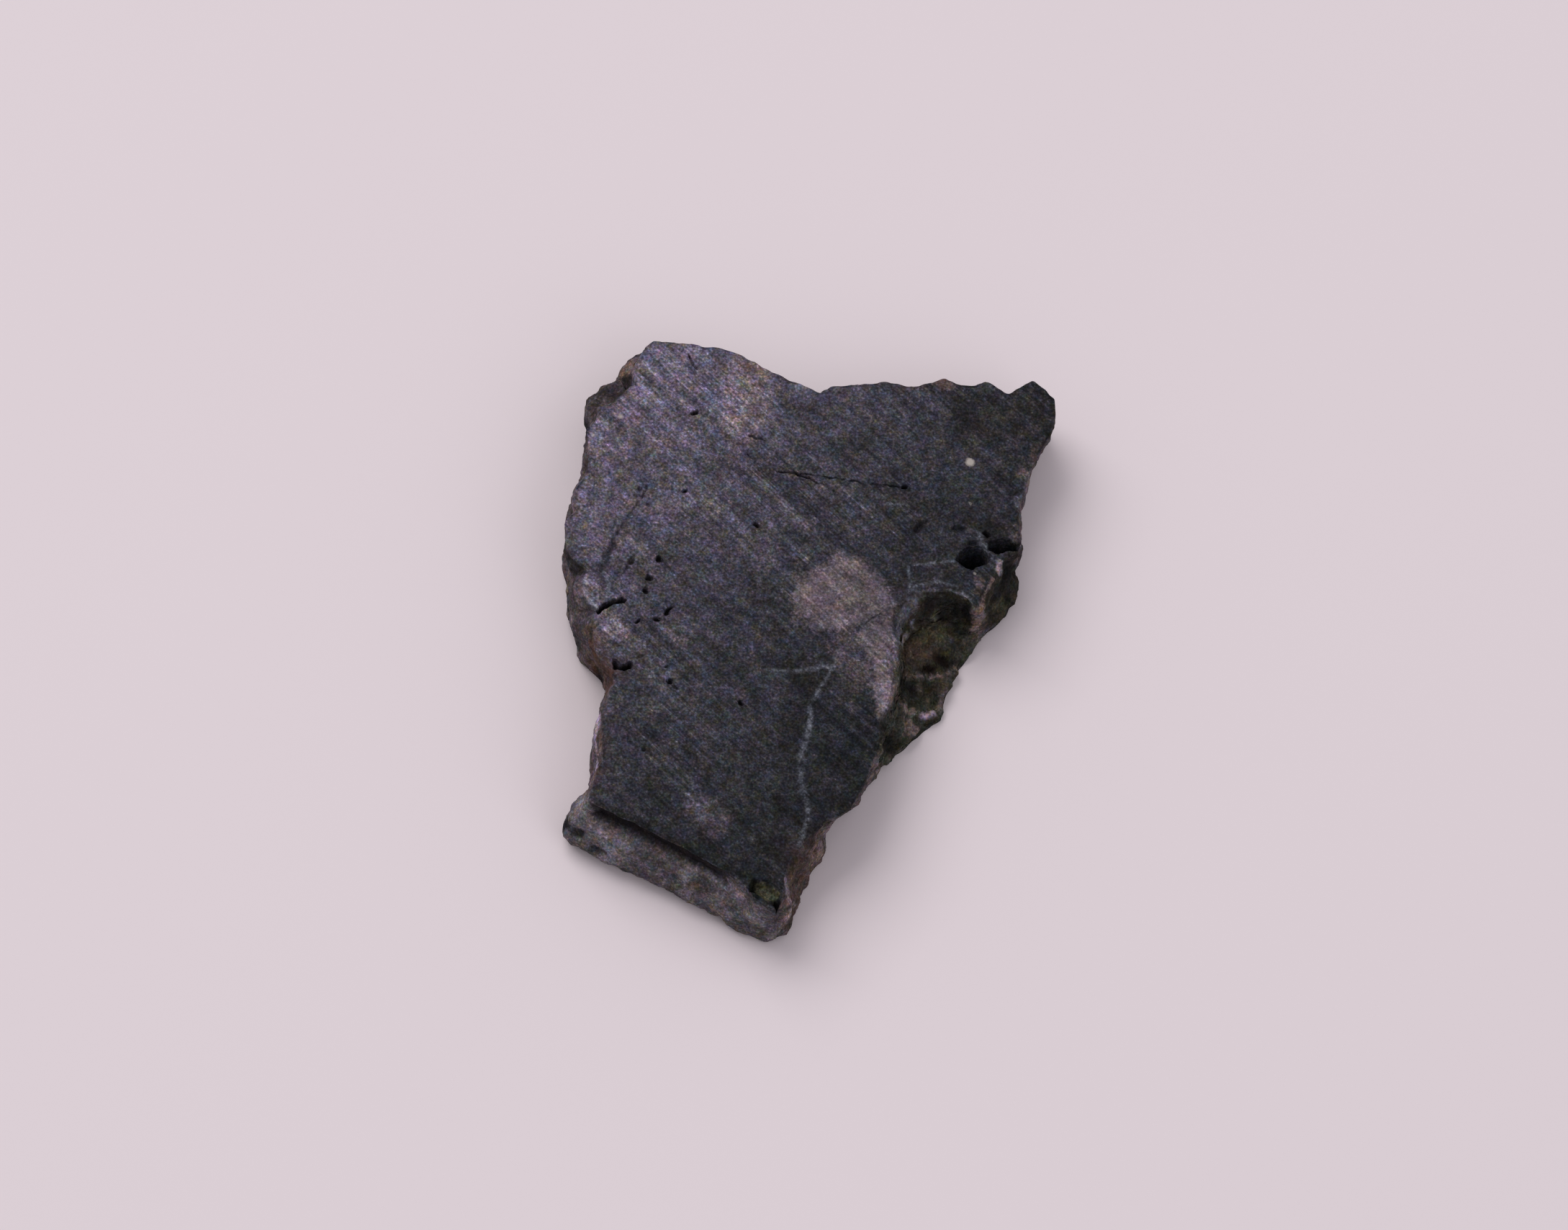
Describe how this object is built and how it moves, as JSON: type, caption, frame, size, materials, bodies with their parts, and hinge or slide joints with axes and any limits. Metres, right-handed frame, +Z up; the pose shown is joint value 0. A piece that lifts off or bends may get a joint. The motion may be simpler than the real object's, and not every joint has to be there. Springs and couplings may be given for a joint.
{
  "type": "lunar meteorite slice",
  "caption": "Thin sawn slice of dark grey lunar breccia with pale clasts and veins, a broken scalloped edge and a shell-like hollow, flat below so that it lies on a surface.",
  "frame": {"origin": "middle of the slice's box, on its lower sawn face", "axes": "+Z up out of the upper sawn face, through the thickness; +Y along the length, from the narrow leg with the saw-break lip to the wide end; +X across, towards the edge with the shell-like break"},
  "size_m": [0.0072, 0.0088, 0.001],
  "materials": {
    "lunar_breccia": "sawn, matt, with rough broken edges"
  },
  "bodies": {
    "root": {"meteorite_slice": "lunar_breccia"}
  },
  "joints": []
}
